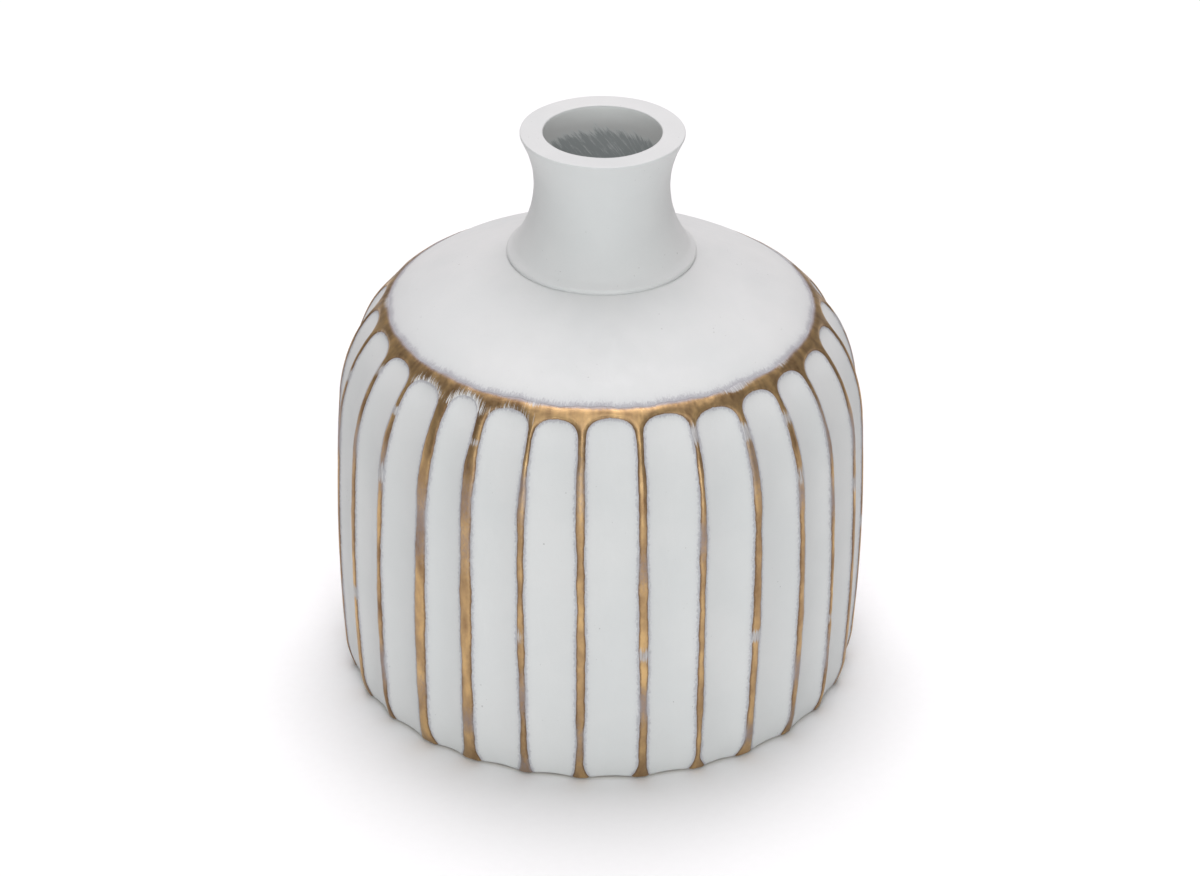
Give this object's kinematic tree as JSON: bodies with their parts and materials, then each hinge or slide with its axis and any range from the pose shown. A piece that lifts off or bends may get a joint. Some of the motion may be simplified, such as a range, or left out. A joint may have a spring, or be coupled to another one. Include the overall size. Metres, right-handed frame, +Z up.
{
  "type": "fluted bottle vase",
  "caption": "Squat bottle vase with scooped vertical flutes, raised gilt ribs between them, a plain sloping shoulder and a short waisted neck with a flat lip.",
  "frame": {"origin": "centre of the foot, on the standing surface", "axes": "+Z up along the vase's axis; -Y is the front, and +X is to the right of someone who faces it"},
  "size_m": [0.1816, 0.1816, 0.2],
  "materials": {
    "white_ceramic": "matt white, slightly warm",
    "bare_ceramic": "unglazed, matt",
    "gilding": "satin, hand applied, worn in places"
  },
  "bodies": {
    "root": {"base": "bare_ceramic", "body": "white_ceramic", "neck": "white_ceramic", "gilt_band": "gilding", "gilt_rib_01": "gilding", "gilt_rib_02": "gilding", "gilt_rib_03": "gilding", "gilt_rib_04": "gilding", "gilt_rib_05": "gilding", "gilt_rib_06": "gilding", "gilt_rib_07": "gilding", "gilt_rib_08": "gilding", "gilt_rib_09": "gilding", "gilt_rib_10": "gilding", "gilt_rib_11": "gilding", "gilt_rib_12": "gilding", "gilt_rib_13": "gilding", "gilt_rib_14": "gilding", "gilt_rib_15": "gilding", "gilt_rib_16": "gilding", "gilt_rib_17": "gilding", "gilt_rib_18": "gilding", "gilt_rib_19": "gilding", "gilt_rib_20": "gilding", "gilt_rib_21": "gilding", "gilt_rib_22": "gilding", "gilt_rib_23": "gilding", "gilt_rib_24": "gilding", "gilt_rib_25": "gilding", "gilt_rib_26": "gilding", "gilt_rib_27": "gilding", "gilt_rib_28": "gilding"}
  },
  "joints": []
}
